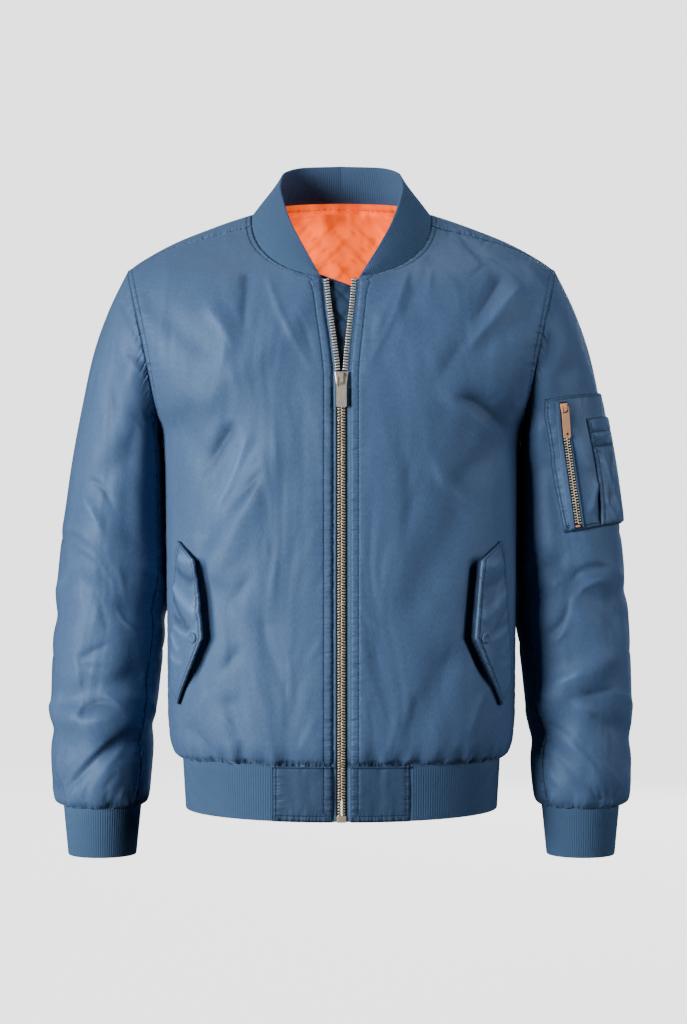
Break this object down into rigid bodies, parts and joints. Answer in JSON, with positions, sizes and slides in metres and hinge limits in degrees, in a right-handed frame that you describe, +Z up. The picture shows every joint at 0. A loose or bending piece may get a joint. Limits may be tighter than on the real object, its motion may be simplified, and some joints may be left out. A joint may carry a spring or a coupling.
{
  "type": "bomber jacket",
  "caption": "Blue satin bomber jacket, filled out as worn and hollow inside, with rib-knit collar, cuffs and hem, orange lining, brass front zip, flap pockets and a zipped sleeve pocket.",
  "frame": {"origin": "middle of the neck base, level with the high points of the shoulders, where the wearer's neck holds it", "axes": "+X towards the wearer's left sleeve, -Y out of the front with the zip, +Z up towards the collar"},
  "size_m": [0.6437, 0.2444, 0.7664],
  "materials": {
    "satin": "satin weave nylon, soft sheen",
    "knit": "rib knit, matte",
    "lining": "smooth satin",
    "quilted": "stitched satin",
    "tape": "woven tape, matte",
    "antique_brass": "antique",
    "nickel": "antique nickel",
    "rose_metal": "rose gold plate"
  },
  "bodies": {
    "garment": {"back": "satin", "collar": "knit", "cuff_left": "knit", "cuff_right": "knit", "front_left": "satin", "front_right": "satin", "hem_rib": "knit", "hem_tab_left": "satin", "hem_tab_right": "satin", "lining_back": "lining", "lining_front_left": "lining", "lining_front_right": "lining", "pen_pocket": "satin", "pocket_flap_left": "satin", "pocket_flap_right": "satin", "sleeve_pocket": "satin", "sleeve_under_left": "satin", "sleeve_under_right": "satin", "sleeve_upper_left": "satin", "sleeve_upper_right": "satin", "sleeve_zip_chain": "antique_brass", "sleeve_zip_slider": "rose_metal", "sleeve_zip_stop": "rose_metal", "sleeve_zip_tape": "tape", "snap_left": "satin", "snap_right": "satin", "wind_flap": "quilted", "zip_chain": "antique_brass", "zip_slider": "nickel", "zip_stop": "antique_brass", "zip_tape_left": "tape", "zip_tape_right": "tape", "zip_teeth_left": "antique_brass", "zip_teeth_right": "antique_brass"},
    "zip_pull": {"zip_pull": "nickel"},
    "sleeve_zip_pull": {"sleeve_zip_pull": "rose_metal"}
  },
  "joints": [
    {"name": "zip_pull_swing", "type": "hinge", "parent": "garment", "child": "zip_pull", "pos_m": [0, -0.12201, -0.18349], "axis": [-1, 0, 0], "range_deg": [0, 150]},
    {"name": "sleeve_zip_pull_swing", "type": "hinge", "parent": "garment", "child": "sleeve_zip_pull", "pos_m": [0.23982, -0.0672, -0.21289], "axis": [-0.9227, -0.3461, -0.1698], "range_deg": [0, 150]}
  ]
}
